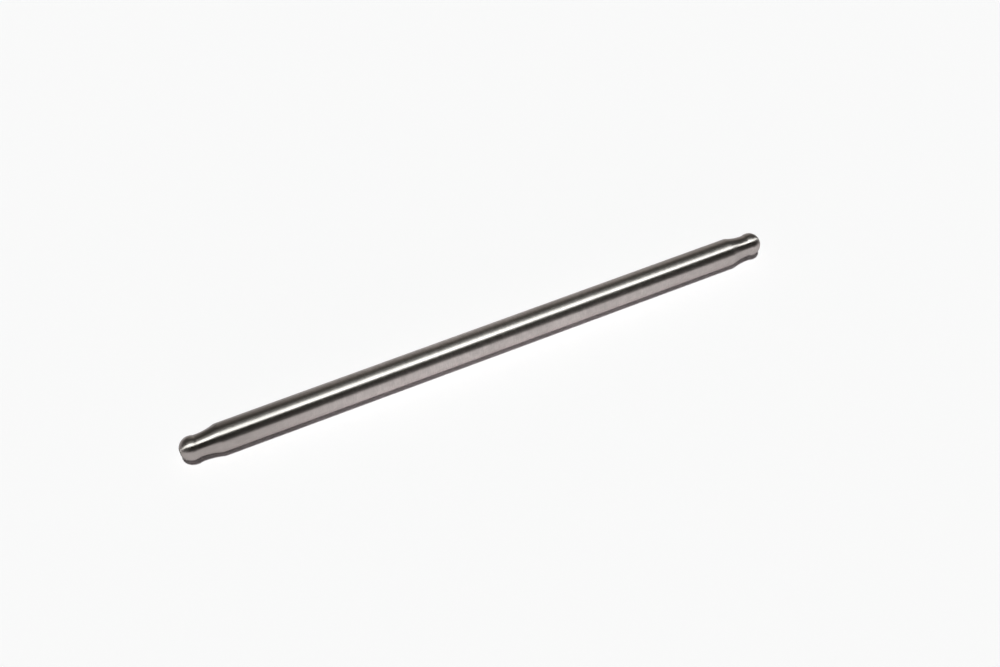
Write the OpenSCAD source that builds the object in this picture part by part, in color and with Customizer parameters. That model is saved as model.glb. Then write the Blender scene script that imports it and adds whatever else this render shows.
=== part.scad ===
// Engine pushrod: one ground steel tube, with its two ends formed into balls.
// The rod lies along X with the middle of its length at the origin. Sizes are in millimetres.

/* [Rod] */
// Overall length, over the mouths of the oil holes
overall_length = 210.3; // [127:0.1:330]
// Outside diameter of the tube
tube_diameter = 9.525; // [7.925:0.025:12.7]
// Wall thickness of the tube
tube_wall = 2.03; // [0.9:0.01:3]

/* [Ball ends] */
// Diameter of the ball at each end
ball_diameter = 7.925; // [6.35:0.025:9.525]
// Depth of the neck below the surface of the ball
neck_depth = 0.3; // [0.1:0.01:0.8]
// Radius of the hollow that leads from the ball down to the neck
neck_radius = 1.5875; // [0.8:0.0125:6]
// Length of the straight part of the neck
neck_length = 0.3; // [0.1:0.05:4]

/* [Shoulder] */
// Length over which the neck flares out to the tube
shoulder_length = 7.04; // [4:0.01:14]
// Radius of the round where the flare rolls onto the tube
shoulder_round = 3.7; // [0.5:0.1:8]

/* [Oil passage] */
// Diameter of the oil hole through each ball
oil_hole_diameter = 2; // [1:0.05:3]
// Width of the chamfer round the mouth of the oil hole
oil_hole_chamfer = 0.2; // [0.05:0.05:0.6]
// Slope of the funnel from the bore of the tube to the oil hole, in degrees from the axis
funnel_angle = 20; // [12:1:60]

/* [Hidden] */
$fn = 96;

// Radii
tube_r = tube_diameter / 2;
ball_r = ball_diameter / 2;
neck_r = ball_r - neck_depth;
bore_r = tube_r - tube_wall;
oil_r = oil_hole_diameter / 2;
mouth_r = oil_r + oil_hole_chamfer;

// The shoulder is a reverse curve: a hollow flare, then a round, that meet on one slope.
// Its length and rise fix the sum of the two radii, and the round takes at most half of it.
shoulder_rise = tube_r - neck_r;
radius_sum = (shoulder_length ^ 2 + shoulder_rise ^ 2) / (2 * shoulder_rise);
round_r = min(shoulder_round, radius_sum / 2);
flare_r = radius_sum - round_r;

// Stations along the rod, measured inwards from the centre of the ball
neck_start = sqrt((ball_r + neck_radius) ^ 2 - (neck_r + neck_radius) ^ 2);
ball_end = neck_start * ball_r / (ball_r + neck_radius);
neck_end = neck_start + neck_length;
tube_start = neck_end + shoulder_length;
flare_end = neck_end + shoulder_length * flare_r / radius_sum;
funnel_end = tube_start - (bore_r - oil_r) / tan(funnel_angle);
mouth = -sqrt(ball_r ^ 2 - mouth_r ^ 2);

// Distance of each ball's centre from the middle of the rod
ball_centre = overall_length / 2 + mouth;
// Station just past the middle, where the section of one end laps over that of the other
lap = ball_centre + ball_r;

// Half section of a plain stretch of rod between two stations
module stretch(radius, from, to) {
    translate([0, from])
        square([radius, to - from]);
}

// Half section of the ball, which ends where it runs into the hollow of the neck
module ball_section() {
    intersection() {
        circle(r = ball_r);
        stretch(ball_diameter, -ball_diameter, ball_end);
    }
}

// Half section of the neck: the hollow below the ball, then a short straight part
module neck_section() {
    difference() {
        stretch(neck_r + neck_radius, ball_end, neck_start);
        translate([neck_r + neck_radius, neck_start])
            circle(r = neck_radius);
    }
    stretch(neck_r, neck_start, neck_end);
}

// Half section of the shoulder: the flare, then the round that rolls onto the tube
module shoulder_section() {
    difference() {
        stretch(tube_r, neck_end, flare_end);
        translate([neck_r + flare_r, neck_end])
            circle(r = flare_r);
    }
    intersection() {
        stretch(tube_diameter, flare_end, tube_start);
        translate([tube_r - round_r, tube_start])
            circle(r = round_r);
    }
    stretch(max(neck_r, tube_r - round_r), flare_end, tube_start);
}

// Half section of one end and its half of the tube, without the oil passage
module end_section() {
    ball_section();
    neck_section();
    shoulder_section();
    stretch(tube_r, tube_start, lap);
}

// Half section of the way the oil takes: chamfered mouth, hole, funnel and bore
module oil_passage_section() {
    polygon([
        [0, -ball_diameter],
        [mouth_r + mouth + ball_diameter, -ball_diameter],
        [mouth_r, mouth],
        [oil_r, mouth + oil_hole_chamfer],
        [oil_r, funnel_end],
        [bore_r, tube_start],
        [bore_r, lap],
        [0, lap]
    ]);
}

// Places a section, drawn from the centre of its ball, at both ends of the rod
module both_ends() {
    for (side = [0, 1])
        mirror([0, side])
            translate([0, -ball_centre])
                children();
}

// The whole rod, turned from one section and laid along X
module pushrod() {
    color("silver")
        rotate([0, 90, 0])
            rotate_extrude()
                difference() {
                    both_ends() end_section();
                    both_ends() oil_passage_section();
                }
}

pushrod();
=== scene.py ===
"""The looks of an engine pushrod: one ground steel tube with a ball formed on either end.

The rod is one surface of revolution, worked out from a few arcs, with a ground finish made of nodes.
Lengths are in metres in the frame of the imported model, where the rod lies along X.
"""
import math

import bpy
import numpy as np
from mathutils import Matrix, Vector


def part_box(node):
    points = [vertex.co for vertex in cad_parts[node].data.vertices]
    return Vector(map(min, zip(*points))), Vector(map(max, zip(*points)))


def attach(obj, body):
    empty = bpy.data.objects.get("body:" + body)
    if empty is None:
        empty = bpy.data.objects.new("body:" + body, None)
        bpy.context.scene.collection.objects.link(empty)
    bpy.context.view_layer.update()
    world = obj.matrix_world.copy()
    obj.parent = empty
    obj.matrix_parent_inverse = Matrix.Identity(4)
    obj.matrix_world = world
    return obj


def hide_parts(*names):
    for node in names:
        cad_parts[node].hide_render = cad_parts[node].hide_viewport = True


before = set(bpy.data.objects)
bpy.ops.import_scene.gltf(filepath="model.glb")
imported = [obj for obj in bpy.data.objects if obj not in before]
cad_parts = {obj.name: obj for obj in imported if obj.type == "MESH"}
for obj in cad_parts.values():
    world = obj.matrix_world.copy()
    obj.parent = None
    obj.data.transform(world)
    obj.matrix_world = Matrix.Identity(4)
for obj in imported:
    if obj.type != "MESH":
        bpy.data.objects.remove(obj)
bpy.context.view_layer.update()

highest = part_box("pushrod")[1]

# Sizes of the rod. Its length and the tube's radius come from the frame, and the rest repeats the source.
HALF_LENGTH = highest.x
TUBE_RADIUS = highest.z
BALL_RADIUS = 0.0039625
NECK_RADIUS = 0.0036625
NECK_HOLLOW_RADIUS = 0.0015875
NECK_LENGTH = 0.0003
SHOULDER_LENGTH = 0.00704
SHOULDER_ROUND_RADIUS = 0.0037
BORE_RADIUS = 0.0027325
OIL_HOLE_RADIUS = 0.001
OIL_HOLE_CHAMFER = 0.0002
FUNNEL_SLOPE = math.radians(20)

# Fineness of the mesh, and the gap between the strips of its unwrapped surface
SIDES = 192
BALL_STEPS = 48
HOLLOW_STEPS = 12
FLARE_STEPS = 24
ROUND_STEPS = 16
TUBE_STEPS = 64
PASSAGE_STEPS = 6
SHORT_STEPS = 2
SHARP_ANGLE = math.radians(25)
UNWRAP_GAP = 0.001

# Texture space of the mesh, which turns the grain of the finish round the rod
TEXTURE_SPACE_PLACE = (0, -1, 0)
TEXTURE_SPACE_SIZE = (1000, 1, 1)

# Grain of the steel. Counts are per metre along the rod, or for patches in every direction.
GRIND_LINES = 9000
FINE_BANDS = 2600
SLOW_BANDS = 450
PATCHES = 80
LINE_WANDER = 2
SCRATCH_STARTS = 45
SCRATCHES_ROUND = 55
NOISE_DETAIL = 3.0
NOISE_MIDDLE = 0.5
BAND_LIMITS = (0.35, 0.65)
PATCH_LIMITS = (0.45, 0.75)
SCRATCH_LIMITS = (0.64, 0.72)
GRAIN_STRENGTH = 0.2
GRAIN_DEPTH = 2e-6

# Finish of the steel: the tube's middle, and what the grain, the ends, the shoulders and the passage change
ROUGHNESS = 0.39
ANISOTROPY = 0.965
LINE_ROUGHNESS = 0.06
BAND_ROUGHNESS = 0.1
PATCH_ROUGHNESS = 0.03
SCRATCH_ROUGHNESS = 0.05
DRILLED_ROUGHNESS = 0.15
END_SMOOTHNESS = 0.04
POLISH_SMOOTHNESS = 0.05
POLISH_CALM = 0.85
POLISH_RISE = (0.0, 0.003)
POLISH_FALL = (0.006, 0.0105)

# Darkening of the steel: painted shade towards the ends, with where it sets in and how strong it is on the
# left and the right; film in patches; and a darker ring on the shoulders
END_RUN = (0.03, 0.09)
SHADE_SIDE = (-0.03, 0.03)
END_SHADES = (0.78, 0.45)
PATCH_FILM = 0.2
# How much darker the steel is on the shoulders
SHOULDER_DARKENING = 0.2

# Colours of the steel
BRIGHT_STEEL = (0.611, 0.552, 0.537, 1)
DULL_STEEL = (0.486, 0.439, 0.427, 1)
# Colour of the film in patches, of the painted shade towards the ends and of the darker ring on the shoulders
FILM_AND_SHADE_COLOUR = (0.352, 0.316, 0.303, 1)
DRILLED_COLOUR = (0.2, 0.187, 0.178, 1)
GRAZING_TINT = (0.5, 0.5, 0.5, 1)

# The camera, at the photograph's viewing angle
EYE = (-0.14719, -0.300236, 0.353354)
HEADING = math.radians(26.7744)
DOWNWARD_TILT = math.radians(46.3453)
LENS_MM = 53.498
SENSOR_MM = 36
NEAR_LIMIT = 0.01
FAR_LIMIT = 100

# Floor and key lamp. Turns are in degrees round the rod: 0 is the front, 90 straight up and 180 the back.
FLOOR_HALF_SIZE = 3.0
FLOOR_COLOUR = (0.944, 0.893, 0.938, 1)
KEY_TURN = 76.5
KEY_LEAN = -7
KEY_ANGLE = 5
KEY_STRENGTH = 3.3
KEY_COLOUR = (0.94, 1.0, 0.95)

# Surroundings. Edges are pairs of turns over which a light fades, and ends are pairs of places along the rod,
# from -1 at the far left to 1 at the far right. A rise, taper or drift is two places and the value at each.
WARM_LIGHT = (1.0, 0.975, 0.9, 1)
LAMP_LIGHT = (0.91, 1.0, 0.97, 1)
WHITE_LIGHT = (1.0, 1.0, 1.0, 1)
DARK_LEVEL = 0.045
WALL_HEIGHT = (0.02, 0.06)
CARD_EDGE = (4, 8)
CARD_RISE = (-0.3, 0.3, 8, -2)
STRIP_EDGES = ((-12, -7), (7, 12))
STRIP_ENDS = ((-1.0, -0.7), (0.8, 1.0))
STRIP_TAPER = (0.1, 0.5, 1.15, 0.62)
STRIP_DRIFT = (0.1, 0.45, 78, 69)
STRIP_BOW = 50
STRIP_LEVEL = 4.5
CEILING_EDGES = ((82, 96), (98, 130))
CEILING_ENDS = ((-0.5, -0.2), (-0.1, 0.2))
CEILING_LEVEL = 1.2
PANEL_EDGES = ((82, 88), (94, 102))
PANEL_ENDS = ((-0.7, -0.4), (-0.1, 0.2))
PANEL_LEVEL = 1.5
BACK_EDGE = (122, 172)
BACK_ENDS = ((0.05, 0.3), (0.45, 0.75))
BACK_LEVELS = (0.03, 0.75)


class Value:
    """A socket that carries a number. Its operators add Math nodes, so that shader maths reads as sums."""

    def __init__(self, tree, socket):
        self.tree = tree
        self.socket = socket

    def calculate(self, operation, *terms):
        """A Math node of this operation on the given terms, which are numbers or other values."""
        node = self.tree.nodes.new("ShaderNodeMath")
        node.operation = operation
        for socket, term in zip(node.inputs, terms):
            plug(self.tree, socket, term)
        return Value(self.tree, node.outputs[0])

    def __add__(self, other):
        return self.calculate("ADD", self, other)

    def __sub__(self, other):
        return self.calculate("SUBTRACT", self, other)

    def __rsub__(self, other):
        return self.calculate("SUBTRACT", other, self)

    def __mul__(self, other):
        return self.calculate("MULTIPLY", self, other)

    def __truediv__(self, other):
        return self.calculate("DIVIDE", self, other)

    def __pow__(self, other):
        return self.calculate("POWER", self, other)

    __radd__ = __add__
    __rmul__ = __mul__

    def absolute(self):
        """The value without its sign."""
        return self.calculate("ABSOLUTE", self)

    def larger(self, other):
        """The larger of this value and another."""
        return self.calculate("MAXIMUM", self, other)

    def angle_over(self, other):
        """The angle whose tangent is this value over another."""
        return self.calculate("ARCTAN2", self, other)


def plug(tree, socket, given):
    """Gives a socket a link, if a value or a socket is given, or else a number or colour of its own."""
    if isinstance(given, Value):
        given = given.socket
    if isinstance(given, bpy.types.NodeSocket):
        tree.links.new(given, socket)
    else:
        socket.default_value = given


class Nodes:
    """The node tree of one material or of the world, emptied."""

    def __init__(self, owner):
        owner.use_nodes = True
        self.tree = owner.node_tree
        self.tree.nodes.clear()

    def add(self, kind, settings, inputs, output=0):
        """A node of this kind: its settings are set first, then its sockets. Returns one of its outputs."""
        node = self.tree.nodes.new(kind)
        for name, setting in settings.items():
            setattr(node, name, setting)
        for name, given in inputs.items():
            plug(self.tree, node.inputs[name], given)
        return node.outputs[output] if node.outputs else None

    def value(self, kind, settings, inputs, output=0):
        """The same for a node whose output is a number."""
        return Value(self.tree, self.add(kind, settings, inputs, output))

    def parts(self, vector):
        """The three parts of a vector, as values."""
        return [self.value("ShaderNodeSeparateXYZ", {}, {"Vector": vector}, axis) for axis in "XYZ"]

    def ease(self, value, start, end, low=0.0, high=1.0):
        """Runs smoothly from low at start to high at end, and stays level outside them."""
        return self.value("ShaderNodeMapRange", {"interpolation_type": "SMOOTHSTEP"},
                          {"Value": value, "From Min": start, "From Max": end,
                           "To Min": low, "To Max": high}, "Result")

    def band(self, value, rise, fall):
        """Runs smoothly up from 0 to 1 over the first pair of limits and down again over the second."""
        return self.ease(value, *rise) * self.ease(value, *fall, 1.0, 0.0)

    def mix(self, factor, first, second):
        """A colour between two others."""
        return self.add("ShaderNodeMix", {"data_type": "RGBA"},
                        {"Factor": factor, "A": first, "B": second}, "Result")

    def grain(self, x, y, z):
        """Noise between 0 and 1 at these coordinates."""
        vector = self.add("ShaderNodeCombineXYZ", {}, {"X": x, "Y": y, "Z": z})
        return self.value("ShaderNodeTexNoise", {},
                          {"Vector": vector, "Scale": 1.0, "Detail": NOISE_DETAIL})


def arc(centre, radius, start, end, steps):
    """Points of a circle in the half section, as (station, radius) rows: the centre plus the radius times
    the cosine and sine of an angle that runs evenly from start to end. The last point is left out."""
    angle = np.linspace(start, end, steps, endpoint=False)
    return np.array(centre) + radius * np.column_stack([np.cos(angle), np.sin(angle)])


def line(start, end, steps):
    """Evenly spaced points from start towards end, which is left out."""
    share = np.linspace(0, 1, steps, endpoint=False)[:, None]
    return np.array(start) * (1 - share) + np.array(end) * share


def end_section():
    """Half section of the left end: its outside and its oil passage, each from the mouth of the oil hole
    inwards, and the station at which the tube starts.

    Stations are first measured inwards from the ball's centre. The outside is the ball, the hollow of the
    neck, a short straight neck, a hollow flare and a round that rolls onto the tube. The flare and the round
    meet on one slope, so their radii add up to (length^2 + rise^2) / (2 * rise) of the shoulder."""
    mouth_radius = OIL_HOLE_RADIUS + OIL_HOLE_CHAMFER
    mouth = -math.sqrt(BALL_RADIUS ** 2 - mouth_radius ** 2)
    hollow_sum = BALL_RADIUS + NECK_HOLLOW_RADIUS
    hollow_height = NECK_RADIUS + NECK_HOLLOW_RADIUS
    neck_start = math.sqrt(hollow_sum ** 2 - hollow_height ** 2)
    neck_end = neck_start + NECK_LENGTH
    tube_start = neck_end + SHOULDER_LENGTH
    rise = TUBE_RADIUS - NECK_RADIUS
    radius_sum = (SHOULDER_LENGTH ** 2 + rise ** 2) / (2 * rise)
    flare_radius = radius_sum - SHOULDER_ROUND_RADIUS
    slope = math.asin(SHOULDER_LENGTH / radius_sum)
    meeting = math.atan2(hollow_height, neck_start)
    funnel_end = tube_start - (BORE_RADIUS - OIL_HOLE_RADIUS) / math.tan(FUNNEL_SLOPE)
    up = math.pi / 2
    down = -up
    outside = np.vstack([
        arc((0, 0), BALL_RADIUS, math.atan2(mouth_radius, mouth), meeting, BALL_STEPS),
        arc((neck_start, hollow_height), NECK_HOLLOW_RADIUS, meeting - math.pi, down, HOLLOW_STEPS),
        line((neck_start, NECK_RADIUS), (neck_end, NECK_RADIUS), SHORT_STEPS),
        arc((neck_end, NECK_RADIUS + flare_radius), flare_radius, down, down + slope, FLARE_STEPS),
        arc((tube_start, TUBE_RADIUS - SHOULDER_ROUND_RADIUS), SHOULDER_ROUND_RADIUS, up + slope, up,
            ROUND_STEPS),
    ])
    chamfer_end = mouth + OIL_HOLE_CHAMFER
    passage = np.vstack([
        line((mouth, mouth_radius), (chamfer_end, OIL_HOLE_RADIUS), SHORT_STEPS),
        line((chamfer_end, OIL_HOLE_RADIUS), (funnel_end, OIL_HOLE_RADIUS), PASSAGE_STEPS),
        line((funnel_end, OIL_HOLE_RADIUS), (tube_start, BORE_RADIUS), PASSAGE_STEPS),
    ])[1:]
    centre = HALF_LENGTH + mouth
    return outside - [centre, 0], passage - [centre, 0], tube_start - centre


def rod_section():
    """The closed half section of the whole rod: left end, tube, right end, then back through the passage.
    Also returns the numbers of the points at which the outside and the passage start and reach mid-length,
    and half the length of the tube between its shoulders."""
    outside, passage, tube_start = end_section()
    mirror = np.array([-1, 1])
    tube = line((tube_start, TUBE_RADIUS), (-tube_start, TUBE_RADIUS), TUBE_STEPS)
    tube_end = np.array([[-tube_start, TUBE_RADIUS]])
    bore = line((-tube_start, BORE_RADIUS), (tube_start, BORE_RADIUS), TUBE_STEPS)
    bore_end = np.array([[tube_start, BORE_RADIUS]])
    outer = np.vstack([outside, tube, tube_end, outside[::-1] * mirror])
    inner = np.vstack([passage * mirror, bore, bore_end, passage[::-1]])
    starts = np.array([0, len(outer) // 2, len(outer), len(outer) + len(inner) // 2])
    return np.vstack([outer, inner]), starts, -tube_start


def revolved(name, section, starts):
    """Turns a closed half section about X: each point (station, radius) becomes a ring
    (station, radius * cos, radius * sin), and neighbouring rings are joined by quads both ways round."""
    turn = np.linspace(0, 2 * math.pi, SIDES, endpoint=False)
    station = section[:, :1]
    radius = section[:, 1:]
    points = np.stack([station + 0 * turn, radius * np.cos(turn), radius * np.sin(turn)], -1)
    number = np.arange(len(section) * SIDES).reshape(len(section), SIDES)
    onward = np.roll(number, -1, 0)
    quads = np.stack([number, np.roll(number, -1, 1), np.roll(onward, -1, 1), onward], -1).reshape(-1, 4)
    mesh = bpy.data.meshes.new(name)
    mesh.from_pydata(points.reshape(-1, 3), [], quads)
    mesh.polygons.foreach_set("use_smooth", np.ones(len(quads), bool))
    mesh.set_sharp_from_angle(angle=SHARP_ANGLE)
    unwrap(mesh, section, starts)
    passage_start = starts[2]
    in_passage = np.arange(len(section)) >= passage_start
    drilled = mesh.attributes.new("drilled", "FLOAT", "POINT")
    drilled.data.foreach_set("value", np.repeat(in_passage.astype(float), SIDES))
    run_grain_round(mesh)
    piece = bpy.data.objects.new(name, mesh)
    bpy.context.scene.collection.objects.link(piece)
    return piece


def unwrap(mesh, section, starts):
    """Lays the surface flat in four strips, both halves of the outside and then both halves of the passage.
    Along a strip runs the length measured on the section, and across it the angle round the rod."""
    step = np.linalg.norm(np.roll(section, -1, 0) - section, axis=1)
    reached = np.cumsum(step) - step
    strip = np.searchsorted(starts, np.arange(len(section)), "right") - 1
    along = reached - reached[starts][strip]
    width = 2 * math.pi * np.array([TUBE_RADIUS, TUBE_RADIUS, BORE_RADIUS, BORE_RADIUS])
    foot = np.cumsum(width + UNWRAP_GAP) - width
    scale = 1 / max((along + step).max(), foot[-1] + width[-1])
    share = np.arange(SIDES) / SIDES
    low = foot[strip][:, None] + width[strip][:, None] * share
    high = low + width[strip][:, None] / SIDES
    near = along[:, None] + 0 * share
    far = near + step[:, None]
    corners = np.stack([near, low, near, high, far, high, far, low], -1) * scale
    mesh.uv_layers.new(name="OFBake").uv.foreach_set("vector", corners.ravel())


def run_grain_round(mesh):
    """Makes the grain of a brushed shader run round X. Its direction is a turn about Z of the mesh's own
    texture space, so that space is put to one side and drawn out along X, where every such turn points
    along X."""
    mesh.use_auto_texspace = False
    mesh.texspace_location = TEXTURE_SPACE_PLACE
    mesh.texspace_size = TEXTURE_SPACE_SIZE


def ground_steel(tube_half_length):
    """Ground steel: grind lines and bands round the rod, faint scratches along it, film in patches, painted
    shade that darkens the steel towards the ends and most on the left, a darker ring on the shoulders,
    smoother shoulders, and a dark drilled passage."""
    material = bpy.data.materials.new("ground_steel")
    nodes = Nodes(material)
    x, y, z = nodes.parts(nodes.add("ShaderNodeTexCoord", {}, {}, "Object"))
    radius = (y * y + z * z) ** 0.5
    round_y = y / radius
    round_z = z / radius
    from_middle = x.absolute()

    lines, fine, slow = [nodes.grain(x * count, round_y * LINE_WANDER, round_z * LINE_WANDER)
                         for count in (GRIND_LINES, FINE_BANDS, SLOW_BANDS)]
    bands = (fine + slow) / 2
    streaks = nodes.grain(x * SCRATCH_STARTS, round_y * SCRATCHES_ROUND, round_z * SCRATCHES_ROUND)
    scratch = nodes.ease(streaks, *SCRATCH_LIMITS)
    patch = nodes.ease(nodes.grain(x * PATCHES, y * PATCHES, z * PATCHES), *PATCH_LIMITS)
    towards_end = nodes.ease(from_middle, *END_RUN)
    polish = nodes.band(from_middle - tube_half_length, POLISH_RISE, POLISH_FALL)
    calm = 1 - POLISH_CALM * polish
    drilled = nodes.value("ShaderNodeAttribute", {"attribute_name": "drilled"}, {}, "Fac")

    ground = LINE_ROUGHNESS * (lines - NOISE_MIDDLE) + BAND_ROUGHNESS * (bands - NOISE_MIDDLE)
    texture = ground + PATCH_ROUGHNESS * patch + SCRATCH_ROUGHNESS * scratch
    smoothness = END_SMOOTHNESS * towards_end + POLISH_SMOOTHNESS * polish
    roughness = ROUGHNESS - smoothness + DRILLED_ROUGHNESS * drilled + texture * calm

    # Painted shade: the steel darkens towards the ends, more on the left than on the right, which dims its
    # reflections there
    end_shade = nodes.ease(x, *SHADE_SIDE, *END_SHADES) * towards_end
    film_and_shade = end_shade + PATCH_FILM * patch + SHOULDER_DARKENING * polish
    steel = nodes.mix(nodes.ease(bands, *BAND_LIMITS), DULL_STEEL, BRIGHT_STEEL)
    filmed_and_shaded = nodes.mix(film_and_shade, steel, FILM_AND_SHADE_COLOUR)
    colour = nodes.mix(drilled, filmed_and_shaded, DRILLED_COLOUR)

    height = (lines + fine + scratch) * calm
    bump = nodes.add("ShaderNodeBump", {},
                     {"Height": height, "Strength": GRAIN_STRENGTH, "Distance": GRAIN_DEPTH})
    shader = nodes.add("ShaderNodeBsdfPrincipled", {},
                       {"Base Color": colour, "Metallic": 1.0, "Roughness": roughness, "Normal": bump,
                        "Anisotropic": ANISOTROPY, "Specular Tint": GRAZING_TINT})
    nodes.add("ShaderNodeOutputMaterial", {}, {"Surface": shader})
    return material


def studio_floor():
    """A flat pale sheet under the rod. Its faint lilac looks white under the faintly green key lamp."""
    mesh = bpy.data.meshes.new("floor")
    side = np.array([-FLOOR_HALF_SIZE, FLOOR_HALF_SIZE])
    wide, deep = np.meshgrid(side, side)
    corners = np.column_stack([wide.ravel(), deep.ravel(), np.full(wide.size, -TUBE_RADIUS)])
    mesh.from_pydata(corners, [], [(0, 1, 3, 2)])
    floor = bpy.data.objects.new("floor", mesh)
    bpy.context.scene.collection.objects.link(floor)
    material = bpy.data.materials.new("pale_floor")
    nodes = Nodes(material)
    pale = nodes.add("ShaderNodeBsdfDiffuse", {}, {"Color": FLOOR_COLOUR})
    nodes.add("ShaderNodeOutputMaterial", {}, {"Surface": pale})
    mesh.materials.append(material)


def studio_world():
    """Dim, warm surroundings with a low white wall all round and a white card in front, which stands higher
    on the left. Reflections also show the lights that run along the rod: a strip overhead, a ceiling behind
    it on the left with a brighter panel in it, and a glow low at the back, mostly towards the right."""
    world = bpy.data.worlds.new("studio")
    bpy.context.scene.world = world
    nodes = Nodes(world)
    x, y, z = nodes.parts(nodes.add("ShaderNodeTexCoord", {}, {}, "Generated"))
    turn = z.angle_over(0 - y) / math.radians(1)

    wall = nodes.ease(z, *WALL_HEIGHT, 1.0, 0.0)
    card = nodes.ease(turn - nodes.ease(x, *CARD_RISE), *CARD_EDGE, 1.0, 0.0)
    white = card.larger(wall)

    strip_middle = nodes.ease(x, *STRIP_DRIFT) + STRIP_BOW * x ** 4
    across_strip = (turn - strip_middle) / nodes.ease(x, *STRIP_TAPER)
    strip = nodes.band(across_strip, *STRIP_EDGES) * nodes.band(x, *STRIP_ENDS)
    ceiling = nodes.band(turn, *CEILING_EDGES) * nodes.band(x, *CEILING_ENDS)
    panel = nodes.band(turn, *PANEL_EDGES) * nodes.band(x, *PANEL_ENDS)
    glow = nodes.ease(nodes.band(x, *BACK_ENDS), 0.0, 1.0, *BACK_LEVELS)
    back = nodes.ease(turn, *BACK_EDGE) * glow
    lights = STRIP_LEVEL * strip + CEILING_LEVEL * ceiling + PANEL_LEVEL * panel + back

    mirrored = nodes.value("ShaderNodeLightPath", {}, {}, "Is Glossy Ray")
    lit = DARK_LEVEL + mirrored * lights
    level = lit * (1 - white) + white
    tint = nodes.mix(strip + ceiling + panel, WARM_LIGHT, LAMP_LIGHT)
    colour = nodes.mix(white, tint, WHITE_LIGHT)
    shader = nodes.add("ShaderNodeBackground", {}, {"Color": colour, "Strength": level})
    nodes.add("ShaderNodeOutputWorld", {}, {"Surface": shader})


def key_light():
    """A compact, faintly green lamp overhead, which lights the floor and casts the rod's shadow. It doesn't
    show in reflections, where the strip overhead makes the highlight."""
    data = bpy.data.lights.new("key", "SUN")
    data.energy = KEY_STRENGTH
    data.color = KEY_COLOUR
    data.angle = math.radians(KEY_ANGLE)
    key = bpy.data.objects.new("key", data)
    turn = math.radians(KEY_TURN)
    lean = math.radians(KEY_LEAN)
    aim = Vector((math.sin(lean), -math.cos(lean) * math.cos(turn), math.cos(lean) * math.sin(turn)))
    key.rotation_euler = aim.to_track_quat("Z", "Y").to_euler()
    key.visible_glossy = False
    bpy.context.scene.collection.objects.link(key)


def camera():
    """The camera of the photograph, level from side to side."""
    data = bpy.data.cameras.new("camera")
    data.sensor_fit = "HORIZONTAL"
    data.sensor_width = SENSOR_MM
    data.lens = LENS_MM
    data.clip_start = NEAR_LIMIT
    data.clip_end = FAR_LIMIT
    eye = bpy.data.objects.new("camera", data)
    eye.location = EYE
    eye.rotation_euler = (math.pi / 2 - DOWNWARD_TILT, 0, -HEADING)
    bpy.context.scene.collection.objects.link(eye)
    bpy.context.scene.camera = eye


bpy.context.scene.view_settings.view_transform = "Standard"
camera()
studio_world()
key_light()
studio_floor()

section, starts, tube_half_length = rod_section()
rod = revolved("ground_rod", section, starts)
rod.data.materials.append(ground_steel(tube_half_length))
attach(rod, "root")
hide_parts("pushrod")
